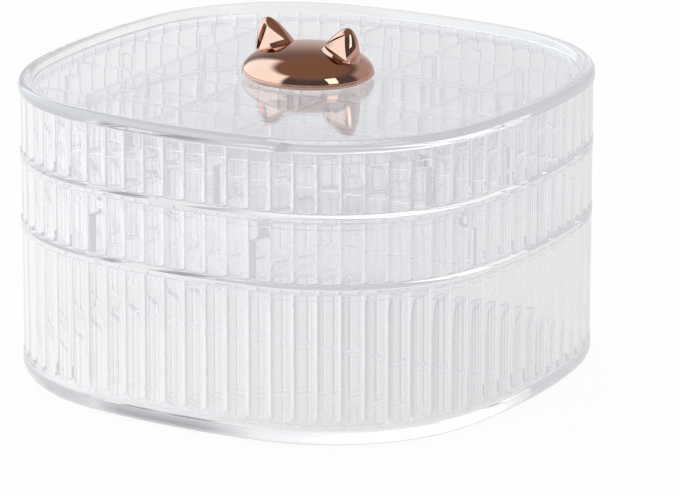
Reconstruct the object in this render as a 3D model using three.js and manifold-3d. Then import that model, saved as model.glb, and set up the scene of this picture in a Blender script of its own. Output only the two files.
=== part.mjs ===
// A clear three-tier keepsake box: a deep base, two stacking divided trays, and a lid with a knob.
// Millimetres, +Z up. The origin is the centre of the underside, +X is right and -Y is the front.
import * as THREE from "three";
import { ConvexGeometry } from "three/addons/geometries/ConvexGeometry.js";
import { mergeVertices } from "three/addons/utils/BufferGeometryUtils.js";
import Module from "manifold-3d";

const wasm = await Module();
wasm.setup();

// Plan outline: a square with bulging sides and tangent round corners.
const boxWidth = 159.4;
const sideRadius = 198;
const cornerRadius = 56.2;
const ringPointsPerQuarter = 20;

// Wall section, shared by the base and both trays.
const wallThickness = 2.4;
const reedsPerSide = 19;
const reedInset = 0.15;
const grooveDepth = 0.6;
const grooveHalfWidth = 0.4;
const grooveShift = 1;

// Heights of the stack.
const baseHeight = 46.4;
const trayHeight = 21;

// Base box.
const baseRimHeight = 7.1;
const baseEdgeRadius = 5;
const baseEdgeSteps = 4;
const baseFadeHeight = 2.4;
const baseFloorTop = 4.8;
const baseFloorThickness = 2.8;
const baseFootWidth = 4;
const baseCornerFillet = 1.2;

// Trays.
const bandHeight = 2.8;
const bandFadeHeight = 0.8;
const trayFloorTop = 2.7;
const trayFloorThickness = 2;
const lipDepth = 2.4;
const lipThickness = 1.5;
const lipClearance = 0.3;

// Lid.
const lidOverhang = 0.3;
const lidRimHeight = 3.6;
const lidEdgeRadius = 2;
const lidEdgeSteps = 3;
const lidRimWidth = 3.9;
const lidRecessDepth = 2.6;
const lidRecessDraft = 0.5;
const lidPlateThickness = 2;
const lidLipDepth = 4.2;

// Divider plates.
const plateThickness = 2;
const plateFit = 0.2;
const slotFit = 0.15;
const plateRimGap = 2;
const shoulderDrop = 6.7;
const shoulderSetBack = 4.5;
const shoulderRound = 1.4;
const roundSegments = 3;

// Divider places, as shares of the way from the middle of the box to its side.
const topNearShare = 0.2;
const topFarShare = 0.597;
const middleLongShare = 0.3425;
const middleCrossShare = 0.389;
const baseDividerShare = 0.025;
const baseDividerHeight = 23.2;

// Knob: a flattened dome with two upright ears.
const knobRadius = 20.4;
const knobDepthShare = 0.93;
const knobFootRadius = 19.2;
const knobWaistHeight = 1.2;
const knobDomeHeight = 9;
const knobFloat = 0.1;
const knobSides = 36;
const domeSteps = 8;
const earTipPlace = 13.9;
const earTipHeight = 16.4;
const earFootPlace = 8.5;
const earFootHeight = 4;
const earFootAcross = 8.4;
const earFootDepth = 6.8;
const earLeanPower = 0.8;
const earTaperPower = 0.55;
const earTipShare = 0.985;
const earSides = 16;
const earRings = 6;
const earHollowTopPlace = 14;
const earHollowTopHeight = 14.5;
const earHollowTopFront = 1.1;
const earHollowInnerPlace = 6.9;
const earHollowInnerHeight = 10.8;
const earHollowInnerFront = 2.1;
const earHollowOuterPlace = 15.7;
const earHollowOuterHeight = 6.9;
const earHollowOuterFront = 3.15;
const earHollowDepth = 0.5;
const earHollowReach = 5;
const earHollowFlareShare = 1.25;

// Knob screw, from below through the lid plate.
const screwRadius = 1.5;
const screwHoleFit = 0.2;
const screwHeadRadius = 3.2;
const screwHeadHeight = 1.8;
const screwGrip = 5.5;
const screwSeatGap = 0.1;
const screwTipGap = 0.6;
const screwSlotWidth = 0.8;
const screwSlotLength = 3.4;
const screwSlotDepth = 1;
const screwSides = 24;

// How far a cutting shape runs past the face that it cuts.
const overrun = 1;

const clear = { color: 0xdfe3e8, roughness: 0.08, metalness: 0, transparent: true, opacity: 0.35 };
const roseGold = { color: 0xb87a5c, roughness: 0.12, metalness: 1 };
const steel = { color: 0xb9bcc0, roughness: 0.3, metalness: 1 };

// Outline: three tangent arcs in each quarter, followed by the length along them.
const halfWidth = boxWidth / 2;
const sideCentre = sideRadius - halfWidth;
const cornerCentre = (Math.sqrt(2 * (sideRadius - cornerRadius) ** 2 - sideCentre ** 2) - sideCentre) / 2;
const sideAngle = Math.atan2(cornerCentre, cornerCentre + sideCentre);
const sideRun = sideRadius * sideAngle;
const cornerRun = cornerRadius * (Math.PI / 2 - 2 * sideAngle);
const quarterRun = 2 * sideRun + cornerRun;

const topNearPlace = halfWidth * topNearShare;
const topFarPlace = halfWidth * topFarShare;
const middleLongPlace = halfWidth * middleLongShare;
const middleCrossPlace = halfWidth * middleCrossShare;
const baseDividerPlace = halfWidth * baseDividerShare;

// The point at a run along the outline, moved inwards by the inset.
function outlinePoint(run, inset) {
  const quarter = Math.floor(run / quarterRun);
  const rest = run - quarter * quarterRun;
  const point = new THREE.Vector2();
  if (rest < sideRun) {
    const angle = rest / sideRadius;
    point.set(Math.cos(angle), Math.sin(angle)).multiplyScalar(sideRadius - inset);
    point.x -= sideCentre;
  } else if (rest < sideRun + cornerRun) {
    const angle = sideAngle + (rest - sideRun) / cornerRadius;
    point.set(Math.cos(angle), Math.sin(angle)).multiplyScalar(cornerRadius - inset);
    point.addScalar(cornerCentre);
  } else {
    const angle = Math.PI / 2 - (quarterRun - rest) / sideRadius;
    point.set(Math.cos(angle), Math.sin(angle)).multiplyScalar(sideRadius - inset);
    point.y -= sideCentre;
  }
  return point.rotateAround(new THREE.Vector2(), quarter * Math.PI / 2);
}

// Half the clear width of the outline, measured at an offset from its middle.
function reach(offset, inset) {
  const side = sideRadius - inset;
  const corner = cornerRadius - inset;
  const far = Math.abs(offset);
  if (far < side * Math.sin(sideAngle)) {
    return Math.sqrt(side ** 2 - far ** 2) - sideCentre;
  }
  if (far < cornerCentre + corner * Math.cos(sideAngle)) {
    return cornerCentre + Math.sqrt(corner ** 2 - (far - cornerCentre) ** 2);
  }
  return Math.sqrt(side ** 2 - (far + sideCentre) ** 2);
}

function smoothRing(inset) {
  const count = 4 * ringPointsPerQuarter;
  return Array.from({ length: count }, (_, i) => outlinePoint(i / count * 4 * quarterRun, inset));
}

// Flat reeds with narrow sharp grooves between them, one groove near the middle of each side.
function reededRing() {
  const pitch = quarterRun / reedsPerSide;
  const groove = pitch - grooveShift;
  const places = [groove - grooveHalfWidth, groove, groove + grooveHalfWidth];
  const insets = [reedInset, reedInset + grooveDepth, reedInset];
  return Array.from({ length: 4 * reedsPerSide }, (_, reed) => (
    places.map((place, i) => outlinePoint(reed * pitch + place, insets[i]))
  )).flat();
}

// Solids: geometry in and out of the boolean library.
function toSolid(geometry) {
  const bare = geometry.clone();
  bare.deleteAttribute("normal");
  bare.deleteAttribute("uv");
  const merged = mergeVertices(bare);
  const vertProperties = new Float32Array(merged.attributes.position.array);
  const triVerts = new Uint32Array(merged.index.array);
  return new wasm.Manifold(new wasm.Mesh({ numProp: 3, vertProperties, triVerts }));
}

function toGeometry(solid) {
  const mesh = solid.getMesh();
  const geometry = new THREE.BufferGeometry();
  geometry.setAttribute("position", new THREE.BufferAttribute(mesh.vertProperties, 3));
  geometry.setIndex(new THREE.BufferAttribute(mesh.triVerts, 1));
  geometry.computeVertexNormals();
  return geometry;
}

// A closed body through rings of equally many points, from the lowest ring to the highest.
function loft(rings) {
  const count = rings[0].length;
  const index = [];
  for (let level = 0; level + 1 < rings.length; level += 1) {
    for (let i = 0; i < count; i += 1) {
      const next = (i + 1) % count;
      const low = level * count;
      const high = low + count;
      index.push(low + i, low + next, high + next);
      index.push(low + i, high + next, high + i);
    }
  }
  const flat = (ring) => ring.map((point) => new THREE.Vector2(point.x, point.y));
  const top = (rings.length - 1) * count;
  for (const [a, b, c] of THREE.ShapeUtils.triangulateShape(flat(rings[0]), [])) {
    index.push(c, b, a);
  }
  for (const [a, b, c] of THREE.ShapeUtils.triangulateShape(flat(rings.at(-1)), [])) {
    index.push(top + a, top + b, top + c);
  }
  const geometry = new THREE.BufferGeometry().setFromPoints(rings.flat());
  geometry.setIndex(index);
  return geometry;
}

const lift = (ring, z) => ring.map((point) => new THREE.Vector3(point.x, point.y, z));

// A body that follows the outline, through levels given as [inset, height].
function outlineBody(levels) {
  return toSolid(loft(levels.map(([inset, z]) => lift(smoothRing(inset), z))));
}

function reededBody(from, to) {
  const ring = reededRing();
  return toSolid(loft([lift(ring, from), lift(ring, to)]));
}

function cylinderBody(radius, from, to, sides) {
  const geometry = new THREE.CylinderGeometry(radius, radius, to - from, sides);
  geometry.rotateX(Math.PI / 2);
  geometry.translate(0, 0, (from + to) / 2);
  return toSolid(geometry);
}

function boxBody(size, centre) {
  const geometry = new THREE.BoxGeometry(size.x, size.y, size.z);
  geometry.translate(centre.x, centre.y, centre.z);
  return toSolid(geometry);
}

// A quarter round as levels, from straight down at the bottom or to flat at the top.
function quarterRound(radius, steps, place) {
  return Array.from({ length: steps + 1 }, (_, i) => place(Math.PI / 2 * i / steps, radius));
}

function basePlace(angle, radius) {
  return [radius * (1 - Math.sin(angle)), radius * (1 - Math.cos(angle))];
}

// Base box: a smooth rounded rim, reeds that fade into it, and a floor raised on a foot ring.
function baseBox() {
  const grooveInset = reedInset + grooveDepth;
  const shell = outlineBody([
    ...quarterRound(baseEdgeRadius, baseEdgeSteps, basePlace),
    [0, baseRimHeight],
    [grooveInset, baseRimHeight + baseFadeHeight],
  ]);
  const inside = outlineBody([
    [wallThickness + baseCornerFillet, baseFloorTop],
    [wallThickness, baseFloorTop + baseCornerFillet],
    [wallThickness, baseHeight + overrun],
  ]);
  const underside = outlineBody([
    [baseEdgeRadius + baseFootWidth, -overrun],
    [baseEdgeRadius + baseFootWidth, baseFloorTop - baseFloorThickness],
  ]);
  return shell.add(reededBody(baseRimHeight - overrun, baseHeight)).subtract(inside).subtract(underside);
}

// Tray: a smooth band, reeds above it, a floor, and a lip that drops inside the wall below.
function tray() {
  const grooveInset = reedInset + grooveDepth;
  const lipInset = wallThickness + lipClearance;
  const band = outlineBody([
    [lipInset, -lipDepth],
    [lipInset, 0],
    [0, 0],
    [0, bandHeight],
    [grooveInset, bandHeight + bandFadeHeight],
  ]);
  const inside = outlineBody([
    [wallThickness, trayFloorTop],
    [wallThickness, trayHeight + overrun],
  ]);
  const underside = outlineBody([
    [lipInset + lipThickness, -lipDepth - overrun],
    [lipInset + lipThickness, trayFloorTop - trayFloorThickness],
  ]);
  return band.add(reededBody(bandHeight / 2, trayHeight)).subtract(inside).subtract(underside);
}

// Lid: a rounded rim round a sunk plate, with a lip that drops inside the top tray.
function lid() {
  const lipInset = wallThickness + lipClearance;
  const place = (angle, radius) => [
    radius * (1 - Math.cos(angle)) - lidOverhang,
    lidRimHeight - radius * (1 - Math.sin(angle)),
  ];
  const plateFace = lidRimHeight - lidRecessDepth;
  const body = outlineBody([
    [lipInset, -lidLipDepth],
    [lipInset, 0],
    [-lidOverhang, 0],
    ...quarterRound(lidEdgeRadius, lidEdgeSteps, place),
  ]);
  const rimInset = lidRimWidth - lidOverhang;
  const recess = outlineBody([
    [rimInset + lidRecessDraft, plateFace],
    [rimInset - lidRecessDraft * overrun / lidRecessDepth, lidRimHeight + overrun],
  ]);
  const underside = outlineBody([
    [lipInset + lipThickness, -lidLipDepth - overrun],
    [lipInset + lipThickness, plateFace - lidPlateThickness],
  ]);
  const hole = cylinderBody(screwRadius + screwHoleFit, -lidLipDepth, lidRimHeight, screwSides);
  return body.subtract(recess).subtract(underside).subtract(hole);
}

// Divider plate: a flat panel whose ends step back above the shoulder, slotted for crossing plates.
function plateShape({ from, to, foot, shoulder, top, stepBack, slots, slotsBelow }) {
  const slotHalf = plateThickness / 2 + slotFit;
  const middle = (foot + top) / 2;
  const slotEnd = middle + (slotsBelow ? slotFit : -slotFit);
  const shape = new THREE.Shape();
  shape.moveTo(from, foot);
  if (slotsBelow) {
    for (const place of slots) {
      shape.lineTo(place - slotHalf, foot);
      shape.lineTo(place - slotHalf, slotEnd);
      shape.lineTo(place + slotHalf, slotEnd);
      shape.lineTo(place + slotHalf, foot);
    }
  }
  shape.lineTo(to, foot);
  if (stepBack) {
    shape.lineTo(to, shoulder);
    shape.lineTo(to - stepBack + shoulderRound, shoulder);
    shape.absarc(to - stepBack + shoulderRound, shoulder + shoulderRound, shoulderRound,
      -Math.PI / 2, -Math.PI, true);
  }
  shape.lineTo(to - stepBack, top);
  if (!slotsBelow) {
    for (const place of slots.toReversed()) {
      shape.lineTo(place + slotHalf, top);
      shape.lineTo(place + slotHalf, slotEnd);
      shape.lineTo(place - slotHalf, slotEnd);
      shape.lineTo(place - slotHalf, top);
    }
  }
  shape.lineTo(from + stepBack, top);
  if (stepBack) {
    shape.absarc(from + stepBack - shoulderRound, shoulder + shoulderRound, shoulderRound,
      0, -Math.PI / 2, true);
    shape.lineTo(from, shoulder);
  }
  shape.closePath();
  return shape;
}

// The panel stands on its foot, its thickness centred on its place along the other axis.
function plateGeometry(shape, place, alongY) {
  const geometry = new THREE.ExtrudeGeometry(shape, {
    depth: plateThickness,
    bevelEnabled: false,
    curveSegments: roundSegments,
  });
  geometry.rotateX(Math.PI / 2);
  geometry.translate(0, place + plateThickness / 2, 0);
  if (alongY) {
    geometry.rotateZ(Math.PI / 2);
    geometry.translate(2 * place, 0, 0);
  }
  return geometry;
}

// Where a plate that runs from wall to wall ends.
function wallEnd(place) {
  return reach(Math.abs(place) + plateThickness / 2, wallThickness) - plateFit;
}

const trayPlate = {
  foot: trayFloorTop + plateFit,
  shoulder: trayHeight - shoulderDrop,
  top: trayHeight - plateRimGap,
};

function wallToWallPlate(place, slots, slotsBelow) {
  const end = wallEnd(place);
  return plateShape({
    ...trayPlate, from: -end, to: end, stepBack: shoulderSetBack, slots, slotsBelow,
  });
}

function topPlates() {
  const crossings = [-topFarPlace, -topNearPlace, topNearPlace, topFarPlace];
  const innerCrossings = [-topNearPlace, topNearPlace];
  const shortEnd = topFarPlace - plateThickness / 2 - plateFit;
  const shortPlate = plateShape({
    ...trayPlate, from: -shortEnd, to: shortEnd, stepBack: 0, slots: innerCrossings, slotsBelow: false,
  });
  const plates = [];
  for (const side of [-1, 1]) {
    const name = side < 0 ? "left" : "right";
    const near = side * topNearPlace;
    const far = side * topFarPlace;
    plates.push([`top_plate_inner_${name}`, plateGeometry(wallToWallPlate(near, crossings, false), near, true)]);
    plates.push([`top_plate_outer_${name}`, plateGeometry(shortPlate, far, true)]);
  }
  for (const side of [-1, 1]) {
    const name = side < 0 ? "front" : "back";
    const near = side * topNearPlace;
    const far = side * topFarPlace;
    plates.push([`top_cross_inner_${name}`, plateGeometry(wallToWallPlate(near, crossings, true), near, false)]);
    plates.push([`top_cross_outer_${name}`, plateGeometry(wallToWallPlate(far, innerCrossings, true), far, false)]);
  }
  return plates;
}

// A short cross plate runs from a long plate to the wall, and steps back only at the wall.
function shortCrossPlate(place, side) {
  const wall = wallEnd(place);
  const inner = middleLongPlace + plateThickness / 2 + plateFit;
  const shape = new THREE.Shape();
  const { foot, shoulder, top } = trayPlate;
  shape.moveTo(inner, foot);
  shape.lineTo(wall, foot);
  shape.lineTo(wall, shoulder);
  shape.lineTo(wall - shoulderSetBack + shoulderRound, shoulder);
  shape.absarc(wall - shoulderSetBack + shoulderRound, shoulder + shoulderRound, shoulderRound,
    -Math.PI / 2, -Math.PI, true);
  shape.lineTo(wall - shoulderSetBack, top);
  shape.lineTo(inner, top);
  shape.closePath();
  const geometry = plateGeometry(shape, side * place, false);
  return side < 0 ? geometry.rotateZ(Math.PI) : geometry;
}

function middlePlates() {
  const plates = [];
  for (const side of [-1, 1]) {
    const name = side < 0 ? "left" : "right";
    const long = wallToWallPlate(middleLongPlace, [], false);
    plates.push([`middle_plate_${name}`, plateGeometry(long, side * middleLongPlace, true)]);
    plates.push([`middle_cross_front_${name}`, shortCrossPlate(-middleCrossPlace, side)]);
    plates.push([`middle_cross_back_${name}`, shortCrossPlate(middleCrossPlace, side)]);
  }
  return plates;
}

function baseDivider() {
  const end = wallEnd(baseDividerPlace);
  const foot = baseFloorTop + plateFit;
  const shape = new THREE.Shape();
  shape.moveTo(-end + baseCornerFillet, foot);
  shape.lineTo(end - baseCornerFillet, foot);
  shape.lineTo(end, foot + baseCornerFillet);
  shape.lineTo(end, baseFloorTop + baseDividerHeight);
  shape.lineTo(-end, baseFloorTop + baseDividerHeight);
  shape.lineTo(-end, foot + baseCornerFillet);
  shape.closePath();
  return plateGeometry(shape, baseDividerPlace, false);
}

// Knob dome: a rounded foot edge, then a quarter ellipse up to the crown, narrower from front to back.
function domeBody() {
  const points = [new THREE.Vector2(0, 0), new THREE.Vector2(knobFootRadius, 0)];
  for (let i = 0; i < domeSteps; i += 1) {
    const angle = Math.PI / 2 * i / domeSteps;
    const height = knobWaistHeight + knobDomeHeight * Math.sin(angle);
    points.push(new THREE.Vector2(knobRadius * Math.cos(angle), height));
  }
  points.push(new THREE.Vector2(0, knobWaistHeight + knobDomeHeight));
  const dome = new THREE.LatheGeometry(points, knobSides).rotateX(Math.PI / 2);
  return toSolid(dome.scale(1, knobDepthShare, 1));
}

// Ear: oval sections that shrink and lean outwards up to a blunt tip.
function earBody(side) {
  const rings = Array.from({ length: earRings + 1 }, (_, step) => {
    const share = 1 - (1 - step / earRings) ** 2;
    const taper = (1 - share * earTipShare) ** earTaperPower;
    const centre = THREE.MathUtils.lerp(earFootPlace, earTipPlace, share ** earLeanPower);
    const z = THREE.MathUtils.lerp(earFootHeight, earTipHeight, share);
    return earRing(side * centre, earFootAcross * taper, earFootDepth * taper, z);
  });
  return toSolid(loft(rings));
}

function earRing(centre, halfAcross, halfDepth, z) {
  return Array.from({ length: earSides }, (_, i) => {
    const angle = 2 * Math.PI * i / earSides;
    return new THREE.Vector3(centre + halfAcross * Math.cos(angle), halfDepth * Math.sin(angle), z);
  });
}

// The three-sided hollow in the front of an ear: shallow facets under steep walls that flare.
function earHollow(side) {
  const near = [
    new THREE.Vector3(side * earHollowTopPlace, -earHollowTopFront, earHollowTopHeight),
    new THREE.Vector3(side * earHollowInnerPlace, -earHollowInnerFront, earHollowInnerHeight),
    new THREE.Vector3(side * earHollowOuterPlace, -earHollowOuterFront, earHollowOuterHeight),
  ];
  const middle = near[0].clone().add(near[1]).add(near[2]).divideScalar(near.length);
  const edge = near[1].clone().sub(near[0]);
  const out = edge.cross(near[2].clone().sub(near[0])).normalize().multiplyScalar(side);
  const far = near.map((corner) => {
    const flared = corner.clone().sub(middle).multiplyScalar(earHollowFlareShare).add(middle);
    return flared.addScaledVector(out, earHollowReach);
  });
  const tip = middle.clone().addScaledVector(out, -earHollowDepth);
  return toSolid(new ConvexGeometry([...near, ...far, tip]));
}

function catKnob() {
  let knob = domeBody();
  for (const side of [-1, 1]) {
    knob = knob.add(earBody(side).subtract(earHollow(side)));
  }
  const hole = cylinderBody(screwRadius + screwHoleFit, -overrun, screwGrip + screwTipGap, screwSides);
  return knob.subtract(hole);
}

// Screw: a flat head with a cross slot under the lid plate, and a shank up into the knob.
function knobScrew() {
  const headTop = -screwSeatGap;
  const headFoot = headTop - screwHeadHeight;
  const shank = cylinderBody(screwRadius, headTop - overrun, lidPlateThickness + screwGrip, screwSides);
  const slotSize = new THREE.Vector3(screwSlotLength, screwSlotWidth, 2 * screwSlotDepth);
  const crossSize = new THREE.Vector3(screwSlotWidth, screwSlotLength, 2 * screwSlotDepth);
  const foot = new THREE.Vector3(0, 0, headFoot);
  return cylinderBody(screwHeadRadius, headFoot, headTop, screwSides)
    .add(shank)
    .subtract(boxBody(slotSize, foot))
    .subtract(boxBody(crossSize, foot));
}

function addMesh(group, name, geometry, look) {
  const mesh = new THREE.Mesh(geometry, new THREE.MeshStandardMaterial(look));
  mesh.name = name;
  group.add(mesh);
  return mesh;
}

function level(z) {
  const group = new THREE.Group();
  group.position.z = z;
  return group;
}

const box = new THREE.Group();

addMesh(box, "base_box", toGeometry(baseBox()), clear);
addMesh(box, "base_divider", baseDivider(), clear);

const middleLevel = level(baseHeight);
addMesh(middleLevel, "middle_tray", toGeometry(tray()), clear);
for (const [name, geometry] of middlePlates()) {
  addMesh(middleLevel, name, geometry, clear);
}
box.add(middleLevel);

const topLevel = level(baseHeight + trayHeight);
addMesh(topLevel, "top_tray", toGeometry(tray()), clear);
for (const [name, geometry] of topPlates()) {
  addMesh(topLevel, name, geometry, clear);
}
box.add(topLevel);

const lidLevel = level(baseHeight + 2 * trayHeight);
const plateFaceHeight = lidRimHeight - lidRecessDepth;
addMesh(lidLevel, "lid", toGeometry(lid()), clear);
addMesh(lidLevel, "cat_knob", toGeometry(catKnob()), roseGold).position.z = plateFaceHeight + knobFloat;
addMesh(lidLevel, "knob_screw", toGeometry(knobScrew()), steel).position.z = plateFaceHeight - lidPlateThickness;
box.add(lidLevel);

export default box;
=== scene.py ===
"""A clear reeded keepsake box: a deep base, two divided trays, a lid and a rose-gold knob."""
import math
from typing import NamedTuple

import bmesh
import bpy
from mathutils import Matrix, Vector


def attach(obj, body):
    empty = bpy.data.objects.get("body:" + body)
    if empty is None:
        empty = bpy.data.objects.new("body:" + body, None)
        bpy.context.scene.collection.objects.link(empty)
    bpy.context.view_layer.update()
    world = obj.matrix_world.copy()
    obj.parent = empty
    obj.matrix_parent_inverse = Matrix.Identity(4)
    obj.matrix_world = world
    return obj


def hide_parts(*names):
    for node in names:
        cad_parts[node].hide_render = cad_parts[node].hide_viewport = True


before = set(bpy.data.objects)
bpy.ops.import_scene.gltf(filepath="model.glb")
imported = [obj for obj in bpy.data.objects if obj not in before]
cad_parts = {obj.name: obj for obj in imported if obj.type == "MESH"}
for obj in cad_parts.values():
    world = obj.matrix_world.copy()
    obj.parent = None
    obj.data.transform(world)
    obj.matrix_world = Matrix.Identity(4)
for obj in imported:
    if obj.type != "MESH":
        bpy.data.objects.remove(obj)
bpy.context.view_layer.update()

MM = 0.001

# Plan outline in millimetres: a square with bulging sides and tangent round corners.
HALF_WIDTH = 79.7
SIDE_RADIUS = 198.0
CORNER_RADIUS = 56.2

# Reeds: REED_SHARES are the places round half a reed, from its crown to the groove, and
# REED_POWER says how late the reed rounds off towards the groove.
REEDS = 76
REED_INSET = 0.15
GROOVE_DEPTH = 0.7
GROOVE_INSET = REED_INSET + GROOVE_DEPTH
GROOVE_SHIFT = 1.0
REED_POWER = 5
REED_SHARES = (0.0, 0.5, 0.65, 0.74, 0.81, 0.87, 0.92, 0.965)

# Stack, in millimetres above the ground.
BASE_HEIGHT = 46.4
TRAY_HEIGHT = 21.0
MIDDLE_LEVEL = BASE_HEIGHT
TOP_LEVEL = BASE_HEIGHT + TRAY_HEIGHT
LID_LEVEL = BASE_HEIGHT + 2 * TRAY_HEIGHT

# Walls of the base and the trays, in millimetres. RIM_MIDDLE lies on the flat top of a wall,
# and REST_GAP is left under what stands on it, so that no two clear faces coincide.
WALL = 2.4
RIM_MIDDLE = 1.6
REST_GAP = 0.06
BASE_RIM = 7.1
BASE_ROUND = 5.0
BASE_ROUND_STEPS = 18
BASE_FADE = 2.4
BASE_FLOOR_TOP = 4.8
BASE_FLOOR_UNDER = 2.0
BASE_FOOT_WIDTH = 4.0
BASE_FILLET = 1.2
BAND = 2.8
BAND_FADE = 0.8
FADE_STEPS = 6
TRAY_FLOOR_TOP = 2.7
TRAY_FLOOR_UNDER = 0.7
TRAY_LIP = 2.4
LIP_INSET = 2.7
LIP_INNER = 4.2

# Lid, in millimetres from the underside of its rim.
LID_LIP = 4.2
LID_OVERHANG = 0.3
LID_RIM = 3.6
LID_ROUND = 2.0
LID_RIM_INNER = 3.6
LID_RIM_FILLET = 0.9
LID_DRAFT = 0.5
LID_FACE = 1.0
LID_UNDER = -1.0
SCREW_HOLE = 1.7

# Fineness of the shells: where their flat ends start, and how their roundings are stepped.
# A ring EDGE_STRIP from both ends of a run longer than LONG_RUN keeps its middle flat.
FLOOR_INSET = 30.0
SMALL_ROUND = 0.3
ROUND_STEPS = 4
STEPS_PER_MM = 5
EDGE_STRIP = 0.1
LONG_RUN = 6 * EDGE_STRIP
SHELL_SHARP = 30.0

# Divider plates, in millimetres above the foot of their own tray.
PLATE = 2.0
PLATE_FIT = 0.2
SLOT_FIT = 0.15
SLOT_HALF = PLATE / 2 + SLOT_FIT
PLATE_FOOT = TRAY_FLOOR_TOP + PLATE_FIT
PLATE_TOP = TRAY_HEIGHT - 2.0
SHOULDER = TRAY_HEIGHT - 6.7
STEP_BACK = 4.5
STEP_ROUND = 1.4
STEP_ROUND_STEPS = 6
TOP_NEAR = HALF_WIDTH * 0.2
TOP_FAR = HALF_WIDTH * 0.597
MIDDLE_LONG = HALF_WIDTH * 0.3425
MIDDLE_CROSS = HALF_WIDTH * 0.389
BASE_DIVIDER = HALF_WIDTH * 0.025
BASE_DIVIDER_TOP = BASE_FLOOR_TOP + 23.2
EDGE_ROUND = 0.18
EDGE_ROUND_SEGMENTS = 2
EDGE_ROUND_FROM = 40.0
PLATE_SHARP = 10.0

# Knob, in millimetres above its own foot, which stands KNOB_GAP clear of the lid's plate.
KNOB_GAP = 0.1
KNOB_LEVEL = LID_LEVEL + LID_FACE + KNOB_GAP
KNOB_RADIUS = 20.4
KNOB_DEPTH_SHARE = 0.93
KNOB_FOOT_RADIUS = 19.2
KNOB_WAIST = 1.2
KNOB_DOME = 9.0
KNOB_SIDES = 128
KNOB_STEPS = 36
KNOB_SHARP = 24.0
KNOB_WELD = 0.001

# Ears: a foot and a tip, with sections that shrink and lean outwards between them. EAR_TAPER and
# EAR_LEAN are the powers of both, and EAR_TIP_SHARE keeps the last section from closing up.
EAR_TIP_PLACE = 13.9
EAR_TIP_HEIGHT = 16.4
EAR_FOOT_PLACE = 8.5
EAR_FOOT_HEIGHT = 4.0
EAR_ACROSS = 8.4
EAR_DEPTH = 6.8
EAR_LEAN = 0.8
EAR_TAPER = 0.55
EAR_TIP_SHARE = 0.9985
EAR_SIDES = 64
EAR_STEPS = 28

# Hollow in the front of the right ear, which the left one mirrors: its three corners, its depth
# behind them, and how far and how wide the cutting shape reaches in front of them.
HOLLOW_CORNERS = ((14.0, -1.1, 14.5), (6.9, -2.1, 10.8), (15.7, -3.15, 6.9))
HOLLOW_DEPTH = 0.5
HOLLOW_REACH = 5.0
HOLLOW_FLARE = 1.25

# Clear acrylic. Paths through it end after LONGEST_PATH bounces, and past that the acrylic
# glows this grey instead of black: a painted glow in place of the light still caught in the walls.
ACRYLIC_IOR = 1.49
ACRYLIC_TINT = (0.985, 0.987, 0.992)
LONGEST_PATH = 16
TRAPPED_LIGHT = (0.61, 0.61, 0.64)

# Counts of bounces are whole numbers, so they are compared half way between two.
HALF_COUNT = 0.5

# Metals. Bumps are a noise's scale, its strength and its height in metres. The underside of the
# knob is bare steel, up to FOOT_STEEL_HEIGHT in millimetres.
ROSE_GOLD = (0.61, 0.36, 0.26)
ROSE_GOLD_ROUGHNESS = 0.03
ROSE_GOLD_BUMP = (40.0, 0.03, 0.0003)
FOOT_STEEL = (0.95, 0.95, 0.96)
FOOT_STEEL_HEIGHT = 0.02
SCREW_STEEL = (0.93, 0.935, 0.95)
SCREW_ROUGHNESS = (0.1, 0.2)
SCREW_BUMP = (900.0, 0.1, 0.0001)
BUMP_DETAIL = 2.0

# Floor, in metres. FLOOR_GLOW is how much of its white is a glow of its own; the rest is lit and
# keeps the shadow. The glow is 1 to the camera. Seen through the acrylic the glow carries painted light:
# a painted falloff from FLOOR_LEFT to FLOOR_RIGHT over FLOOR_HALF to each side, and a painted shadow that
# drops it to SHADE_UNDER below the box, between SHADE_OUTER and SHADE_INNER from the middle.
FLOOR_SIZE = 8.0
FLOOR_DROP = 0.0003
FLOOR_COLOUR = (0.85, 0.85, 0.85)
FLOOR_GLOW = 0.96
FLOOR_LEFT = 0.97
FLOOR_RIGHT = 0.80
FLOOR_HALF = 0.12
SHADE_INNER = 0.06
SHADE_OUTER = 0.11
SHADE_UNDER = 0.90

# Studio, in degrees: azimuth 0 lies behind the box and grows to the right. Each panel has its
# left and right azimuth, its top, how soft its edges are, and its tone. The camera sees plain
# white. The room lights the box, and its clear walls bend it into view: a bright field at the
# left and a dark one at the right draw the lines in the reeds.
BACKDROP = (1, 1, 1)
ROOM = (0.95, 0.96, 0.975)
ROOM_PANELS = (
    (-42, -8, 91, 8, (1.32, 1.325, 1.335)),
    (8, 42, 91, 8, (0.37, 0.37, 0.39)),
    (42, 100, 91, 8, (0.80, 0.80, 0.82)),
    (100, 200, 25, 10, (0.36, 0.36, 0.38)),
    (-200, -100, 25, 10, (0.36, 0.36, 0.38)),
)
# Outer faces mirror a darker studio, whose ceiling has a lower edge, a softness and a tone.
MIRROR_STUDIO = (0.12, 0.115, 0.14)
MIRROR_CEILING = (45, 12, (0.29, 0.21, 0.16))
MIRROR_PANELS = (
    (-19, 32, 33, 22, (0.72, 0.715, 0.735)),
    (28, 90, 38, 8, (0.60, 0.57, 0.58)),
    (-128, -29, 52, 6, (1.6, 1.95, 2.2)),
)

# Lamps, in metres and watts: place, size, power, and whether mirrors show the lamp.
LAMP_TARGET = (0, 0, 0.05)
LAMPS = {
    "key": ((-1.5, -0.3, 0.9), (1.2, 1.2), 9.0, False),
    "fill": ((1.3, -0.5, 0.8), (0.5, 1.0), 4.0, True),
}

# Photograph's camera, in degrees and metres, with its lens in millimetres.
CAMERA_AZIMUTH = 31.183
CAMERA_ELEVATION = 15.672
CAMERA_ROLL = 0.056
CAMERA_DISTANCE = 1.57702
CAMERA_TARGET = (0.0, 0.0, 0.05)
CAMERA_LENS = 276.98
CAMERA_SENSOR = 36.0
CAMERA_SHIFT = (0.046445, -0.06636)
CAMERA_RANGE = (0.05, 30.0)

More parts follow.
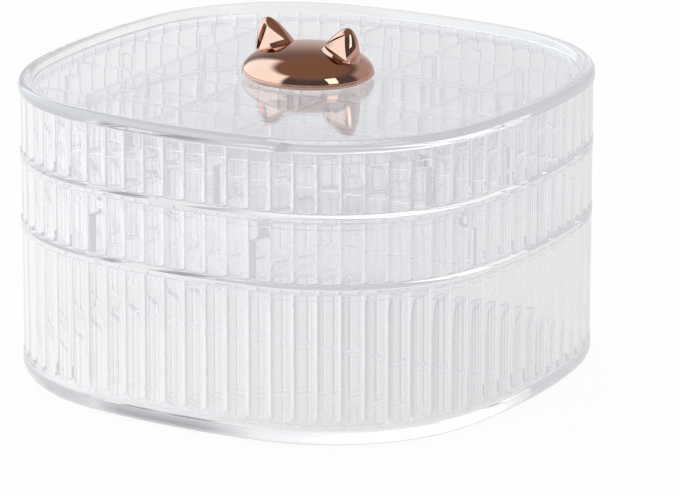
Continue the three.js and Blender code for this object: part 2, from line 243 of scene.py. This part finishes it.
# Runs along the outline, worked out from its three radii.
SIDE_CENTRE = SIDE_RADIUS - HALF_WIDTH
CORNER_CENTRE = (math.sqrt(2 * (SIDE_RADIUS - CORNER_RADIUS) ** 2 - SIDE_CENTRE ** 2) - SIDE_CENTRE) / 2
SIDE_ANGLE = math.atan2(CORNER_CENTRE, CORNER_CENTRE + SIDE_CENTRE)
SIDE_RUN = SIDE_RADIUS * SIDE_ANGLE
CORNER_RUN = CORNER_RADIUS * (math.pi / 2 - 2 * SIDE_ANGLE)
QUARTER_RUN = 2 * SIDE_RUN + CORNER_RUN
WHOLE_RUN = 4 * QUARTER_RUN
REED_PITCH = WHOLE_RUN / REEDS


# Outline

def outline_ray(run):
    """Centre, direction and radius of the outline's arc at a run along it."""
    quarter, rest = divmod(run, QUARTER_RUN)
    if rest < SIDE_RUN:
        centre, angle, radius = (-SIDE_CENTRE, 0.0), rest / SIDE_RADIUS, SIDE_RADIUS
    elif rest < SIDE_RUN + CORNER_RUN:
        centre, radius = (CORNER_CENTRE, CORNER_CENTRE), CORNER_RADIUS
        angle = SIDE_ANGLE + (rest - SIDE_RUN) / CORNER_RADIUS
    else:
        centre, radius = (0.0, -SIDE_CENTRE), SIDE_RADIUS
        angle = math.pi / 2 - (QUARTER_RUN - rest) / SIDE_RADIUS
    turn = quarter * math.pi / 2
    cos, sin = math.cos(turn), math.sin(turn)
    turned = (centre[0] * cos - centre[1] * sin, centre[0] * sin + centre[1] * cos)
    return turned, (math.cos(angle + turn), math.sin(angle + turn)), radius


def reed_section():
    """One reed from groove to groove: how far round it each point is, and how far in."""
    half = REED_PITCH / 2
    rising = [(share * half, REED_INSET + GROOVE_DEPTH * share ** REED_POWER) for share in REED_SHARES]
    falling = [(-across, inset) for across, inset in reversed(rising[1:])]
    return [(-half, GROOVE_INSET), *falling, *rising]


def outline_rays():
    """All rays of the outline, each with how far the reeds' surface lies inside it."""
    section = reed_section()
    rays = []
    for reed in range(REEDS):
        for across, inset in section:
            run = ((reed + 0.5) * REED_PITCH + across - GROOVE_SHIFT) % WHOLE_RUN
            rays.append((*outline_ray(run), inset))
    return rays


RAYS = outline_rays()


def reach(offset, inset):
    """Half the clear width of the outline at an offset from its middle."""
    side, corner, far = SIDE_RADIUS - inset, CORNER_RADIUS - inset, abs(offset)
    if far < side * math.sin(SIDE_ANGLE):
        return math.sqrt(side ** 2 - far ** 2) - SIDE_CENTRE
    if far < CORNER_CENTRE + corner * math.cos(SIDE_ANGLE):
        return CORNER_CENTRE + math.sqrt(corner ** 2 - (far - CORNER_CENTRE) ** 2)
    return math.sqrt(side ** 2 - (far + SIDE_CENTRE) ** 2)


# Mesh helpers

def face_outward(bm):
    """Turns every face of a closed mesh outward, by the sign of its volume."""
    bmesh.ops.recalc_face_normals(bm, faces=bm.faces)
    if bm.calc_volume(signed=True) < 0:
        bmesh.ops.reverse_faces(bm, faces=bm.faces)


def finish_mesh(name, bm, sharp_degrees=SHELL_SHARP):
    """Makes an object of the mesh, smooth but for its sharp edges."""
    face_outward(bm)
    for face in bm.faces:
        face.smooth = True
    limit = math.radians(sharp_degrees)
    for edge in bm.edges:
        edge.smooth = edge.is_manifold and edge.calc_face_angle() < limit
    mesh = bpy.data.meshes.new(name)
    bm.to_mesh(mesh)
    bm.free()
    obj = bpy.data.objects.new(name, mesh)
    bpy.context.scene.collection.objects.link(obj)
    return obj


def oval(centre, across, depth, z, count):
    """A level oval ring round a centre on the X axis."""
    ring = []
    for i in range(count):
        angle = 2 * math.pi * i / count
        ring.append((centre + across * math.cos(angle), depth * math.sin(angle), z))
    return ring


def loft(name, rings, closed=False):
    """A body through rings of equally many points: with flat ends, or closed into a tube."""
    bm = bmesh.new()
    made = [[bm.verts.new((x * MM, y * MM, z * MM)) for x, y, z in ring] for ring in rings]
    if closed:
        made.append(made[0])
    for low, high in zip(made, made[1:]):
        for i in range(len(low)):
            j = (i + 1) % len(low)
            bm.faces.new((low[i], low[j], high[j], high[i]))
    if not closed:
        bm.faces.new(made[0][::-1])
        bm.faces.new(made[-1])
    return finish_mesh(name, bm)


def combine(target, tool, operation):
    """Joins or cuts one body with another, and removes the tool."""
    modifier = target.modifiers.new(operation, "BOOLEAN")
    modifier.operation = operation
    modifier.solver = "EXACT"
    modifier.object = tool
    graph = bpy.context.evaluated_depsgraph_get()
    mesh = bpy.data.meshes.new_from_object(target.evaluated_get(graph))
    target.modifiers.clear()
    target.data = mesh
    bpy.data.objects.remove(tool)


# Levels of a shell

class Level(NamedTuple):
    """One ring of a shell: its inset from the outline, its height, whether the reeds cut it, and
    how far it lies inside what they leave."""
    inset: float
    z: float
    reeded: bool = False
    extra: float = 0.0


def filleted(points):
    """A path of (inset, z, radius) corners as (inset, z) points, with each corner rounded."""
    path = []
    for i, (x, z, radius) in enumerate(points):
        here = Vector((x, z))
        if i in (0, len(points) - 1) or not radius:
            path.append((x, z))
            continue
        before = (Vector(points[i - 1][:2]) - here).normalized()
        after = (Vector(points[i + 1][:2]) - here).normalized()
        half = before.angle(after) / 2
        run = radius / math.tan(half)
        centre = here + (before + after).normalized() * (radius / math.sin(half))
        start, end = here + before * run - centre, here + after * run - centre
        sweep = start.angle(end)
        steps = max(ROUND_STEPS, round(STEPS_PER_MM * radius))
        for step in range(steps + 1):
            share = step / steps
            arm = (start * math.sin((1 - share) * sweep) + end * math.sin(share * sweep)) / math.sin(sweep)
            path.append(tuple(centre + arm))
    return path


def smooth_levels(path):
    """Levels without reeds."""
    return [Level(inset, z) for inset, z in path]


def fade_levels(low, height):
    """Reeds that grow out of a smooth band through a sloping edge."""
    shares = [step / FADE_STEPS for step in range(1, FADE_STEPS + 1)]
    return [Level(GROOVE_INSET * share, low + height * share, True) for share in shares]


def reed_rim(top):
    """The rounded top edge of the reeds."""
    levels = []
    for step in range(ROUND_STEPS + 1):
        angle = math.pi / 2 * step / ROUND_STEPS
        drop = SMALL_ROUND * (1 - math.sin(angle))
        levels.append(Level(GROOVE_INSET, top - drop, True, SMALL_ROUND * (1 - math.cos(angle))))
    return levels


def kept_flat(levels):
    """Adds a ring close to both ends of each long run, so that its middle shades flat."""
    kept = [levels[0]]
    for low, high in zip(levels, levels[1:]):
        run = math.dist((low.inset + low.extra, low.z), (high.inset + high.extra, high.z))
        if run > LONG_RUN:
            for share in (EDGE_STRIP / run, 1 - EDGE_STRIP / run):
                inset = low.inset + (high.inset - low.inset) * share
                z = low.z + (high.z - low.z) * share
                extra = low.extra + (high.extra - low.extra) * share
                kept.append(Level(inset, z, low.reeded or high.reeded, extra))
        kept.append(high)
    return kept


def shell(name, foot, levels, hole=None):
    """A closed body whose rings follow the outline, with flat ends or one hole through both."""
    rings = []
    for level in kept_flat(levels):
        ring = []
        for (centre_x, centre_y), (out_x, out_y), radius, reed in RAYS:
            inset = min(level.inset, reed) if level.reeded else level.inset
            arm = radius - inset - level.extra
            ring.append((centre_x + out_x * arm, centre_y + out_y * arm, level.z + foot))
        rings.append(ring)
    if hole:
        for level in (levels[-1], levels[0]):
            rings.append(oval(0, hole, hole, level.z + foot, len(RAYS)))
    return loft(name, rings, closed=bool(hole))


# Clear shells

def base_shell():
    """The deep base: foot ring, rounded rim, fading reeds, rounded wall top and floor."""
    foot = BASE_ROUND + BASE_FOOT_WIDTH
    under = filleted([
        (FLOOR_INSET, BASE_FLOOR_UNDER, 0),
        (foot, BASE_FLOOR_UNDER, SMALL_ROUND),
        (foot, 0, SMALL_ROUND),
        (BASE_ROUND, 0, 0),
    ])
    rounding = []
    for step in range(1, BASE_ROUND_STEPS + 1):
        angle = math.pi / 2 * step / BASE_ROUND_STEPS
        rounding.append((BASE_ROUND * (1 - math.sin(angle)), BASE_ROUND * (1 - math.cos(angle))))
    top = BASE_HEIGHT - REST_GAP
    inside = filleted([
        (RIM_MIDDLE, top, 0),
        (WALL, top, SMALL_ROUND),
        (WALL, BASE_FLOOR_TOP, BASE_FILLET),
        (FLOOR_INSET, BASE_FLOOR_TOP, 0),
    ])[1:]
    levels = smooth_levels(under + rounding + [(0, BASE_RIM)])
    levels += fade_levels(BASE_RIM, BASE_FADE)
    levels += reed_rim(top) + smooth_levels(inside)
    return shell("base_shell", 0.0, levels)


def tray_shell(name, foot):
    """A tray: the lip below, a smooth band, reeds above it, and a floor."""
    under = filleted([
        (FLOOR_INSET, TRAY_FLOOR_UNDER, 0),
        (LIP_INNER, TRAY_FLOOR_UNDER, SMALL_ROUND),
        (LIP_INNER, -TRAY_LIP, SMALL_ROUND),
        (LIP_INSET, -TRAY_LIP, SMALL_ROUND),
        (LIP_INSET, 0, 0),
        (0, 0, SMALL_ROUND),
        (0, BAND, 0),
    ])
    top = TRAY_HEIGHT - REST_GAP
    inside = filleted([
        (RIM_MIDDLE, top, 0),
        (WALL, top, SMALL_ROUND),
        (WALL, TRAY_FLOOR_TOP, SMALL_ROUND),
        (FLOOR_INSET, TRAY_FLOOR_TOP, 0),
    ])[1:]
    levels = smooth_levels(under) + fade_levels(BAND, BAND_FADE)
    levels += reed_rim(top) + smooth_levels(inside)
    return shell(name, foot, levels)


def lid_shell():
    """The lid: the lip below, a rounded rim round a sunk plate, and the screw's hole."""
    path = filleted([
        (FLOOR_INSET, LID_UNDER, 0),
        (LIP_INNER, LID_UNDER, SMALL_ROUND),
        (LIP_INNER, -LID_LIP, SMALL_ROUND),
        (LIP_INSET, -LID_LIP, SMALL_ROUND),
        (LIP_INSET, 0, 0),
        (-LID_OVERHANG, 0, SMALL_ROUND),
        (-LID_OVERHANG, LID_RIM, LID_ROUND),
        (LID_RIM_INNER, LID_RIM, LID_RIM_FILLET),
        (LID_RIM_INNER + LID_DRAFT, LID_FACE, SMALL_ROUND),
        (FLOOR_INSET, LID_FACE, 0),
    ])
    return shell("lid_shell", LID_LEVEL, smooth_levels(path), hole=SCREW_HOLE)


# Divider plates

def corner_arc(x, z, sign):
    """The rounded inner corner of a shoulder, round a centre, on its far side for sign 1."""
    arc = []
    for step in range(STEP_ROUND_STEPS + 1):
        angle = math.pi / 2 * step / STEP_ROUND_STEPS
        arc.append((x + sign * STEP_ROUND * math.cos(angle), z - STEP_ROUND * math.sin(angle)))
    return arc


def plate_outline(start, end, stepped, slots=(), slots_below=False):
    """Outline of a tray's plate: stepped says whether its start and end step back at the wall."""
    slot_end = (PLATE_FOOT + PLATE_TOP) / 2 + (SLOT_FIT if slots_below else -SLOT_FIT)
    points = [(start, PLATE_FOOT)]
    if slots_below:
        for place in slots:
            points += [(place - SLOT_HALF, PLATE_FOOT), (place - SLOT_HALF, slot_end)]
            points += [(place + SLOT_HALF, slot_end), (place + SLOT_HALF, PLATE_FOOT)]
    points.append((end, PLATE_FOOT))
    if stepped[1]:
        x = end - STEP_BACK + STEP_ROUND
        points.append((end, SHOULDER))
        points += corner_arc(x, SHOULDER + STEP_ROUND, -1)[::-1]
        points.append((end - STEP_BACK, PLATE_TOP))
    else:
        points.append((end, PLATE_TOP))
    if not slots_below:
        for place in reversed(slots):
            points += [(place + SLOT_HALF, PLATE_TOP), (place + SLOT_HALF, slot_end)]
            points += [(place - SLOT_HALF, slot_end), (place - SLOT_HALF, PLATE_TOP)]
    if stepped[0]:
        x = start + STEP_BACK - STEP_ROUND
        points.append((start + STEP_BACK, PLATE_TOP))
        points += corner_arc(x, SHOULDER + STEP_ROUND, 1)
        points.append((start, SHOULDER))
    else:
        points.append((start, PLATE_TOP))
    return points


def plate(name, foot, outline, place, along_y=False):
    """A polished plate: the outline drawn out by the plate's thickness, its edges rounded."""
    bm = bmesh.new()
    sides = []
    for offset in (-PLATE / 2, PLATE / 2):
        ring = []
        for run, z in outline:
            x, y = (place + offset, run) if along_y else (run, place + offset)
            ring.append(bm.verts.new((x * MM, y * MM, (z + foot) * MM)))
        sides.append(ring)
    near, far = sides
    bm.faces.new(near)
    bm.faces.new(far[::-1])
    for i in range(len(near)):
        j = (i + 1) % len(near)
        bm.faces.new((near[j], near[i], far[i], far[j]))
    bmesh.ops.recalc_face_normals(bm, faces=bm.faces)
    limit = math.radians(EDGE_ROUND_FROM)
    sharp = [edge for edge in bm.edges if edge.calc_face_angle() > limit]
    bmesh.ops.bevel(
        bm,
        geom=sharp,
        offset=EDGE_ROUND * MM,
        segments=EDGE_ROUND_SEGMENTS,
        profile=0.5,
        affect="EDGES",
        clamp_overlap=True,
    )
    return finish_mesh(name, bm, PLATE_SHARP)


def wall_end(place):
    """Where a plate that runs from wall to wall ends."""
    return reach(abs(place) + PLATE / 2, WALL) - PLATE_FIT


def top_plates():
    """The top tray's dividers: long and short ones from front to back, and those across them."""
    crossings = (-TOP_FAR, -TOP_NEAR, TOP_NEAR, TOP_FAR)
    inner = (-TOP_NEAR, TOP_NEAR)
    short_end = TOP_FAR - PLATE / 2 - PLATE_FIT
    both, none = (True, True), (False, False)
    made = {}
    for side, left_right, front_back in ((-1, "left", "front"), (1, "right", "back")):
        near, far = side * TOP_NEAR, side * TOP_FAR
        long_end, far_end = wall_end(near), wall_end(far)
        rows = (
            (f"top_plate_inner_{left_right}", long_end, both, crossings, False, near, True),
            (f"top_plate_outer_{left_right}", short_end, none, inner, False, far, True),
            (f"top_cross_inner_{front_back}", long_end, both, crossings, True, near, False),
            (f"top_cross_outer_{front_back}", far_end, both, inner, True, far, False),
        )
        for node, end, stepped, slots, slots_below, place, along_y in rows:
            outline = plate_outline(-end, end, stepped, slots, slots_below)
            made[node] = plate(node + "_polished", TOP_LEVEL, outline, place, along_y)
    return made


def middle_plates():
    """The middle tray's dividers: two long ones, and short ones from them to the side walls."""
    end = wall_end(MIDDLE_LONG)
    wall = wall_end(MIDDLE_CROSS)
    inner = MIDDLE_LONG + PLATE / 2 + PLATE_FIT
    made = {}
    for side, name in ((-1, "left"), (1, "right")):
        node = f"middle_plate_{name}"
        outline = plate_outline(-end, end, (True, True))
        made[node] = plate(node + "_polished", MIDDLE_LEVEL, outline, side * MIDDLE_LONG, True)
        for row, place in (("front", -MIDDLE_CROSS), ("back", MIDDLE_CROSS)):
            node = f"middle_cross_{row}_{name}"
            if side > 0:
                outline = plate_outline(inner, wall, (False, True))
            else:
                outline = plate_outline(-wall, -inner, (True, False))
            made[node] = plate(node + "_polished", MIDDLE_LEVEL, outline, place)
    return made


def base_divider():
    """The low divider in the base, its lower corners cut to clear the floor's fillet."""
    end = wall_end(BASE_DIVIDER)
    foot = BASE_FLOOR_TOP + PLATE_FIT
    outline = [
        (-end + BASE_FILLET, foot),
        (end - BASE_FILLET, foot),
        (end, foot + BASE_FILLET),
        (end, BASE_DIVIDER_TOP),
        (-end, BASE_DIVIDER_TOP),
        (-end, foot + BASE_FILLET),
    ]
    return plate("base_divider_polished", 0.0, outline, BASE_DIVIDER)


# Knob

def knob_dome():
    """The flattened dome, from its closed foot over its rounded side up to the crown."""
    rings = []
    for radius in (SCREW_HOLE, KNOB_FOOT_RADIUS):
        rings.append(oval(0, radius, radius * KNOB_DEPTH_SHARE, KNOB_LEVEL, KNOB_SIDES))
    for step in range(KNOB_STEPS):
        angle = math.pi / 2 * step / KNOB_STEPS
        radius = KNOB_RADIUS * math.cos(angle)
        z = KNOB_WAIST + KNOB_DOME * math.sin(angle) + KNOB_LEVEL
        rings.append(oval(0, radius, radius * KNOB_DEPTH_SHARE, z, KNOB_SIDES))
    return loft("knob_dome", rings)


def ear(side):
    """One ear, its sections closer together towards the blunt tip."""
    rings = []
    for step in range(EAR_STEPS + 1):
        share = 1 - (1 - step / EAR_STEPS) ** 2
        taper = (1 - share * EAR_TIP_SHARE) ** EAR_TAPER
        centre = EAR_FOOT_PLACE + (EAR_TIP_PLACE - EAR_FOOT_PLACE) * share ** EAR_LEAN
        z = EAR_FOOT_HEIGHT + (EAR_TIP_HEIGHT - EAR_FOOT_HEIGHT) * share + KNOB_LEVEL
        rings.append(oval(side * centre, EAR_ACROSS * taper, EAR_DEPTH * taper, z, EAR_SIDES))
    return loft(f"ear_{side}", rings)


def ear_hollow(side):
    """The shape that cuts the three-sided hollow out of an ear: shallow facets under steep walls."""
    bm = bmesh.new()
    corners = [Vector((side * x, y, z + KNOB_LEVEL)) for x, y, z in HOLLOW_CORNERS]
    middle = sum(corners, Vector()) / 3
    out = (corners[1] - corners[0]).cross(corners[2] - corners[0]).normalized()
    if out.y > 0:
        out.negate()
    near = [bm.verts.new(corner * MM) for corner in corners]
    far = []
    for corner in corners:
        far.append(bm.verts.new((middle + (corner - middle) * HOLLOW_FLARE + out * HOLLOW_REACH) * MM))
    tip = bm.verts.new((middle - out * HOLLOW_DEPTH) * MM)
    bm.faces.new(far)
    for i in range(len(near)):
        j = (i + 1) % len(near)
        bm.faces.new((near[i], near[j], tip))
        bm.faces.new((far[i], far[j], near[j], near[i]))
    return finish_mesh(f"hollow_{side}", bm)


def knob():
    """The whole knob as one body: the dome with both hollowed ears."""
    body = knob_dome()
    for side in (-1, 1):
        part = ear(side)
        combine(part, ear_hollow(side), "DIFFERENCE")
        combine(body, part, "UNION")
    bm = bmesh.new()
    bm.from_mesh(body.data)
    bpy.data.objects.remove(body)
    bmesh.ops.remove_doubles(bm, verts=bm.verts, dist=KNOB_WELD * MM)
    return finish_mesh("knob_polished", bm, KNOB_SHARP)


# Node helpers

class Graph:
    """Short ways to add, feed and link the nodes of a material or the world."""

    def __init__(self, owner):
        owner.use_nodes = True
        self.nodes = owner.node_tree.nodes
        self.links = owner.node_tree.links

    def feed(self, socket, value):
        """Gives a socket a number, a colour or direction of three numbers, or another socket."""
        if isinstance(value, bpy.types.NodeSocket):
            self.links.new(value, socket)
        elif isinstance(value, tuple) and len(socket.default_value) == 4:
            socket.default_value = (*value, 1)
        else:
            socket.default_value = value

    def add(self, kind, settings=None, inputs=None):
        """A new node of a kind, with its settings and what its inputs are fed."""
        node = self.nodes.new("ShaderNode" + kind)
        for name, value in (settings or {}).items():
            setattr(node, name, value)
        for name, value in (inputs or {}).items():
            self.feed(node.inputs[name], value)
        return node

    def calculate(self, operation, *values):
        """The result of a sum on one or two values."""
        return self.add("Math", {"operation": operation}, dict(enumerate(values))).outputs[0]

    def measure(self, operation, *vectors):
        """A number measured on one or two vectors."""
        return self.add("VectorMath", {"operation": operation}, dict(enumerate(vectors))).outputs["Value"]

    def height(self, vector):
        """A vector's Z."""
        return self.add("SeparateXYZ", inputs={0: vector}).outputs["Z"]

    def ramp(self, value, source, target, kind="LINEAR"):
        """A value moved from one range into another."""
        inputs = dict(zip(("From Min", "From Max", "To Min", "To Max"), (*source, *target)))
        node = self.add("MapRange", {"interpolation_type": kind}, {"Value": value, **inputs})
        return node.outputs["Result"]

    def soft_step(self, value, edge, softness):
        """From 0 below an edge to 1 above it."""
        return self.ramp(value, (edge - softness, edge + softness), (0.0, 1.0), "SMOOTHSTEP")

    def soft_fall(self, value, edge, softness):
        """From 1 below an edge to 0 above it."""
        return self.ramp(value, (edge - softness, edge + softness), (1.0, 0.0), "SMOOTHSTEP")

    def mix_colours(self, share, below, above):
        """One colour laid over another: 0, 6 and 7 are the Mix node's sockets for colours."""
        return self.add("Mix", {"data_type": "RGBA"}, {0: share, 6: below, 7: above}).outputs[2]

    def mix_shaders(self, share, below, above):
        """One shader laid over another."""
        return self.add("MixShader", inputs={0: share, 1: below, 2: above}).outputs[0]

    def bump(self, scale, strength, distance):
        """Slight unevenness: the normal for a shader, and the noise that it comes from."""
        place = self.add("TexCoord").outputs["Object"]
        noise = self.add("TexNoise", inputs={"Vector": place, "Scale": scale, "Detail": BUMP_DETAIL})
        inputs = {"Strength": strength, "Distance": distance, "Height": noise.outputs["Fac"]}
        return self.add("Bump", inputs=inputs).outputs["Normal"], noise.outputs["Fac"]


# Materials

def surface(name, settings):
    """A new material, its graph, and its main shader with these settings."""
    material = bpy.data.materials.new(name)
    graph = Graph(material)
    shader = graph.nodes["Principled BSDF"]
    for socket, value in settings.items():
        graph.feed(shader.inputs[socket], value)
    return material, graph, shader


def acrylic():
    """Clear polished acrylic with a faint cool tint, and a painted grey glow on paths longer than
    LONGEST_PATH bounces.
    """
    material, graph, shader = surface("clear_acrylic", {
        "Base Color": ACRYLIC_TINT,
        "Transmission Weight": 1.0,
        "IOR": ACRYLIC_IOR,
        "Roughness": 0.0,
        "Emission Color": TRAPPED_LIGHT,
    })
    # Painted glow: past LONGEST_PATH bounces the acrylic emits TRAPPED_LIGHT in place of the light still
    # caught in the walls.
    depth = graph.add("LightPath").outputs["Ray Depth"]
    painted_glow = graph.calculate("GREATER_THAN", depth, LONGEST_PATH + HALF_COUNT)
    graph.feed(shader.inputs["Emission Strength"], painted_glow)
    return material


def rose_gold():
    """Mirror-polished rose gold with a trace of haze, and a bright steel foot."""
    material, graph, shader = surface("rose_gold", {"Metallic": 1.0, "Roughness": ROSE_GOLD_ROUGHNESS})
    height = graph.height(graph.add("TexCoord").outputs["Object"])
    plated = graph.calculate("GREATER_THAN", height, (KNOB_LEVEL + FOOT_STEEL_HEIGHT) * MM)
    graph.feed(shader.inputs["Base Color"], graph.mix_colours(plated, FOOT_STEEL, ROSE_GOLD))
    normal, _ = graph.bump(*ROSE_GOLD_BUMP)
    graph.feed(shader.inputs["Normal"], normal)
    return material


def plated_steel():
    """Plated screw steel with fine turning marks."""
    material, graph, shader = surface("plated_steel", {"Base Color": SCREW_STEEL, "Metallic": 1.0})
    normal, noise = graph.bump(*SCREW_BUMP)
    graph.feed(shader.inputs["Normal"], normal)
    graph.feed(shader.inputs["Roughness"], graph.ramp(noise, (0.0, 1.0), SCREW_ROUGHNESS))
    return material


# Pieces and what they stand for

def wear(obj, material, node, body):
    """Gives a piece its material, the body that it rides on and the CAD node that it replaces."""
    obj.data.materials.clear()
    obj.data.materials.append(material)
    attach(obj, body)
    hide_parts(node)


def make_pieces():
    """Builds every visible piece on its body, and plates the screw."""
    clear = acrylic()
    rows = [
        (base_shell(), "base_box", "base"),
        (base_divider(), "base_divider", "base"),
        (tray_shell("middle_tray_shell", MIDDLE_LEVEL), "middle_tray", "middle"),
        (tray_shell("top_tray_shell", TOP_LEVEL), "top_tray", "top"),
        (lid_shell(), "lid", "cover"),
    ]
    rows += [(obj, node, "middle") for node, obj in middle_plates().items()]
    rows += [(obj, node, "top") for node, obj in top_plates().items()]
    for obj, node, body in rows:
        wear(obj, clear, node, body)
    wear(knob(), rose_gold(), "cat_knob", "cover")
    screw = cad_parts["knob_screw"]
    screw.data.materials.clear()
    screw.data.materials.append(plated_steel())


# Floor, light and camera

def to_the_right():
    """The level direction to the right in the photograph."""
    turn = math.radians(CAMERA_AZIMUTH)
    return (math.cos(turn), math.sin(turn), 0)


def to_the_back():
    """The level direction away from the photograph's camera."""
    turn = math.radians(CAMERA_AZIMUTH)
    return (-math.sin(turn), math.cos(turn), 0)


def floor_glow(graph, path):
    """How bright the floor's glow is: 1 to the camera; where acrylic shows it, a painted falloff from left
    to right and a painted shadow under the box.
    """
    place = graph.add("TexCoord").outputs["Object"]
    across = graph.measure("DOT_PRODUCT", place, to_the_right())
    # Painted light: the glow seen through the acrylic falls off from left to right.
    painted_falloff = graph.ramp(across, (-FLOOR_HALF, FLOOR_HALF), (FLOOR_LEFT, FLOOR_RIGHT))
    away = graph.measure("LENGTH", place)
    # Painted shadow: the glow drops to SHADE_UNDER under the box.
    painted_shadow = graph.ramp(away, (SHADE_INNER, SHADE_OUTER), (SHADE_UNDER, 1.0), "SMOOTHSTEP")
    level = graph.calculate("MULTIPLY", painted_falloff, painted_shadow)
    return graph.calculate("MAXIMUM", level, path.outputs["Is Camera Ray"])


def make_floor():
    """A white floor that keeps the box's shadow."""
    bpy.ops.mesh.primitive_plane_add(size=FLOOR_SIZE, location=(0, 0, -FLOOR_DROP))
    floor = bpy.context.object
    floor.name = "floor"
    material = bpy.data.materials.new("floor_white")
    graph = Graph(material)
    graph.nodes.clear()
    path = graph.add("LightPath")
    lit = graph.add("BsdfDiffuse", inputs={"Color": FLOOR_COLOUR}).outputs[0]
    glow = graph.add("Emission", inputs={"Strength": floor_glow(graph, path)}).outputs[0]
    seen = graph.calculate("MAXIMUM", path.outputs["Is Camera Ray"], path.outputs["Is Glossy Ray"])
    seen = graph.calculate("MAXIMUM", seen, path.outputs["Is Transmission Ray"])
    share = graph.calculate("MULTIPLY", seen, FLOOR_GLOW)
    graph.add("OutputMaterial", inputs={"Surface": graph.mix_shaders(share, lit, glow)})
    floor.data.materials.append(material)


def directions(graph):
    """Where a ray into the world points: its azimuth and its elevation, in degrees."""
    place = graph.add("TexCoord").outputs["Generated"]
    right = graph.measure("DOT_PRODUCT", place, to_the_right())
    back = graph.measure("DOT_PRODUCT", place, to_the_back())
    azimuth = graph.calculate("ARCTAN2", right, back)
    elevation = graph.calculate("ARCSINE", graph.height(place))
    return tuple(graph.calculate("MULTIPLY", angle, 180 / math.pi) for angle in (azimuth, elevation))


def panelled(graph, tone, panels, azimuth, elevation):
    """A studio tone with soft-edged panels standing in front of it."""
    for left, right, top, softness, colour in panels:
        share = graph.soft_fall(elevation, top, softness)
        share = graph.calculate("MULTIPLY", share, graph.soft_step(azimuth, left, softness))
        share = graph.calculate("MULTIPLY", share, graph.soft_fall(azimuth, right, softness))
        tone = graph.mix_colours(share, tone, colour)
    return tone


def make_world():
    """White to the camera, a darker studio to outer mirror faces, and the room to all else."""
    world = bpy.data.worlds.new("studio")
    bpy.context.scene.world = world
    graph = Graph(world)
    graph.nodes.clear()
    azimuth, elevation = directions(graph)
    room = panelled(graph, ROOM, ROOM_PANELS, azimuth, elevation)
    edge, softness, ceiling = MIRROR_CEILING
    overhead = graph.soft_step(elevation, edge, softness)
    studio = graph.mix_colours(overhead, MIRROR_STUDIO, ceiling)
    studio = panelled(graph, studio, MIRROR_PANELS, azimuth, elevation)
    path = graph.add("LightPath")
    outside = graph.calculate("LESS_THAN", path.outputs["Transmission Depth"], HALF_COUNT)
    mirrored = graph.calculate("MULTIPLY", outside, path.outputs["Is Glossy Ray"])
    shown = graph.add("Background", inputs={"Color": room}).outputs[0]
    for share, colour in ((mirrored, studio), (path.outputs["Is Camera Ray"], BACKDROP)):
        background = graph.add("Background", inputs={"Color": colour}).outputs[0]
        shown = graph.mix_shaders(share, shown, background)
    graph.add("OutputWorld", inputs={"Surface": shown})


def make_lamps():
    """Soft lamps, which don't show through the clear walls."""
    for name, (place, size, power, mirrored) in LAMPS.items():
        data = bpy.data.lights.new(name, "AREA")
        data.shape = "RECTANGLE"
        data.size, data.size_y = size
        data.energy = power
        lamp = bpy.data.objects.new(name, data)
        bpy.context.scene.collection.objects.link(lamp)
        lamp.location = place
        lamp.visible_transmission = False
        lamp.visible_glossy = mirrored
        lamp.rotation_euler = (Vector(LAMP_TARGET) - Vector(place)).to_track_quat("-Z", "Y").to_euler()


def make_camera():
    """The photograph's camera."""
    azimuth, elevation = math.radians(CAMERA_AZIMUTH), math.radians(CAMERA_ELEVATION)
    towards = Vector((
        math.sin(azimuth) * math.cos(elevation),
        -math.cos(azimuth) * math.cos(elevation),
        math.sin(elevation),
    ))
    data = bpy.data.cameras.new("camera")
    data.lens = CAMERA_LENS
    data.sensor_width = CAMERA_SENSOR
    data.shift_x, data.shift_y = CAMERA_SHIFT
    data.clip_start, data.clip_end = CAMERA_RANGE
    camera = bpy.data.objects.new("camera", data)
    bpy.context.scene.collection.objects.link(camera)
    camera.location = Vector(CAMERA_TARGET) + towards * CAMERA_DISTANCE
    camera.rotation_euler = towards.to_track_quat("Z", "Y").to_matrix().to_euler()
    camera.rotation_euler.rotate_axis("Z", math.radians(-CAMERA_ROLL))
    bpy.context.scene.camera = camera


def set_rendering():
    """Plain colours, and paths long enough for the clear walls."""
    scene = bpy.context.scene
    scene.view_settings.view_transform = "Standard"
    scene.cycles.max_bounces = LONGEST_PATH
    scene.cycles.transmission_bounces = LONGEST_PATH
    scene.cycles.glossy_bounces = LONGEST_PATH
    scene.cycles.transparent_max_bounces = LONGEST_PATH


make_pieces()
make_floor()
make_world()
make_lamps()
make_camera()
set_rendering()
